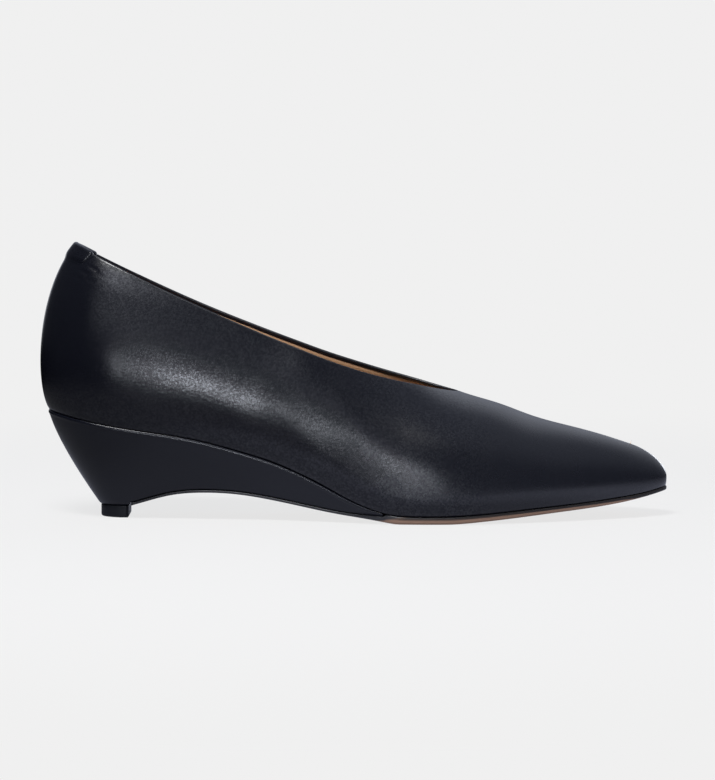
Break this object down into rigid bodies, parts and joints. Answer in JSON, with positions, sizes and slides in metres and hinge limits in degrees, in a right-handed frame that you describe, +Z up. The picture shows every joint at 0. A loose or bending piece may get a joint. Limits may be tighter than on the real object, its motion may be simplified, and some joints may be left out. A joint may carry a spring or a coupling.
{
  "type": "wedge shoe",
  "caption": "Pointed slip-on shoe with a low V throat, a smooth black leather upper, a leather-covered wedge hollowed at the arch, a thin leather sole and a small rubber heel tip.",
  "frame": {"origin": "centre of the shoe's box on the floor", "axes": "+X towards the toe, +Y towards the medial side of a right shoe, +Z up"},
  "size_m": [0.2622, 0.0747, 0.1153],
  "materials": {
    "upper_leather": "smooth black calf with a soft sheen",
    "wedge_leather": "smooth black leather covering, satin",
    "sock_leather": "tan lining leather, matt",
    "sole_leather": "tan sole leather, edge inked black at the waist",
    "tip_rubber": "hard black rubber, matt"
  },
  "bodies": {
    "root": {"upper": "upper_leather", "back_tab": "upper_leather", "insole": "sock_leather", "wedge": "wedge_leather", "outsole": "sole_leather", "top_piece": "tip_rubber"}
  },
  "joints": []
}
